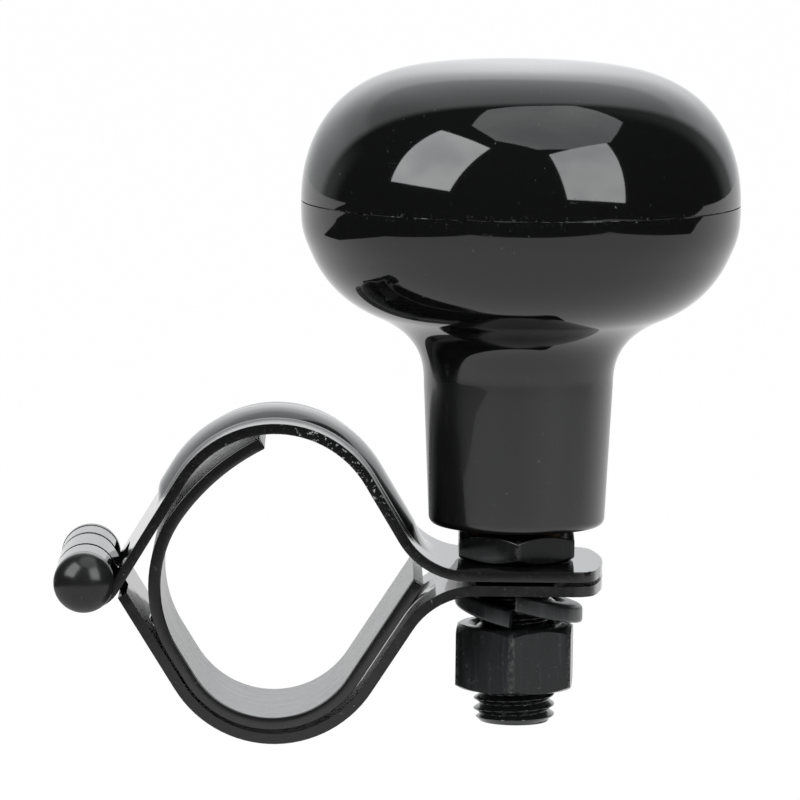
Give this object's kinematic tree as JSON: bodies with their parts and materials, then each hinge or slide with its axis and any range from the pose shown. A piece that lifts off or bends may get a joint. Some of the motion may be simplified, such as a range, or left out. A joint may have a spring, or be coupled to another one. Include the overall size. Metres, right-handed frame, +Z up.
{
  "type": "steering wheel spinner knob",
  "caption": "Gloss black knob that spins on an upright bolt over a hinged sheet-metal clamp, made to close round a steering wheel rim.",
  "frame": {"origin": "middle of the rim opening, on the plane where the two straps split", "axes": "+X from the hinge to the knob, +Y along the hinge pin, +Z up along the knob's axis"},
  "size_m": [0.0825, 0.0534, 0.083],
  "materials": {
    "gloss_black": "gloss",
    "black_plate": "gloss",
    "black_steel": "satin",
    "bearing_steel": "polished",
    "soft_liner": "satin",
    "cage_brass": "satin"
  },
  "bodies": {
    "clamp": {"upper_strap": "black_plate", "spindle_bolt": "black_steel", "hinge_pin": "black_plate", "lower_bearing_inner_race": "bearing_steel", "upper_bearing_inner_race": "bearing_steel", "bearing_spacer": "bearing_steel", "top_washer": "bearing_steel", "lock_nut": "bearing_steel"},
    "knob": {"knob_body": "gloss_black", "knob_cap": "gloss_black", "lower_bearing_outer_race": "bearing_steel", "upper_bearing_outer_race": "bearing_steel"},
    "lower_cage": {"lower_bearing_cage": "cage_brass", "lower_bearing_ball_1": "bearing_steel", "lower_bearing_ball_2": "bearing_steel", "lower_bearing_ball_3": "bearing_steel", "lower_bearing_ball_4": "bearing_steel", "lower_bearing_ball_5": "bearing_steel", "lower_bearing_ball_6": "bearing_steel", "lower_bearing_ball_7": "bearing_steel"},
    "upper_cage": {"upper_bearing_cage": "cage_brass", "upper_bearing_ball_1": "bearing_steel", "upper_bearing_ball_2": "bearing_steel", "upper_bearing_ball_3": "bearing_steel", "upper_bearing_ball_4": "bearing_steel", "upper_bearing_ball_5": "bearing_steel", "upper_bearing_ball_6": "bearing_steel", "upper_bearing_ball_7": "bearing_steel"},
    "lower_jaw": {"lower_strap": "black_plate", "rim_liner": "soft_liner"},
    "washer": {"spring_washer": "black_steel"},
    "nut": {"clamp_nut": "black_steel"}
  },
  "joints": [
    {"name": "knob_spin", "type": "hinge", "parent": "clamp", "child": "knob", "pos_m": [0.0293, 0, 0.04525], "axis": [0, 0, 1], "continuous": true},
    {"name": "lower_cage_spin", "type": "hinge", "parent": "clamp", "child": "lower_cage", "pos_m": [0.0293, 0, 0.00935], "axis": [0, 0, 1], "continuous": true},
    {"name": "upper_cage_spin", "type": "hinge", "parent": "clamp", "child": "upper_cage", "pos_m": [0.0293, 0, 0.02335], "axis": [0, 0, 1], "continuous": true},
    {"name": "jaw_open", "type": "hinge", "parent": "clamp", "child": "lower_jaw", "pos_m": [-0.0229, 0, -0.00015], "axis": [0, 1, 0], "range_deg": [0, 3.6]},
    {"name": "washer_slide", "type": "slide", "parent": "clamp", "child": "washer", "axis": [0, 0, -1], "range_m": [0, 0.0039]},
    {"name": "nut_turn", "type": "hinge", "parent": "washer", "child": "nut", "pos_m": [0.0293, 0, -0.01], "axis": [0, 0, -1], "range_deg": [0, 1110]}
  ],
  "couplings": [
    {"joint": "lower_cage_spin", "follows": "knob_spin", "ratio": 0.5992},
    {"joint": "upper_cage_spin", "follows": "knob_spin", "ratio": 0.5992},
    {"joint": "washer_slide", "follows": "jaw_open", "m_per_rad": 0.061},
    {"joint": "nut_turn", "follows": "jaw_open", "ratio": 306.62}
  ]
}
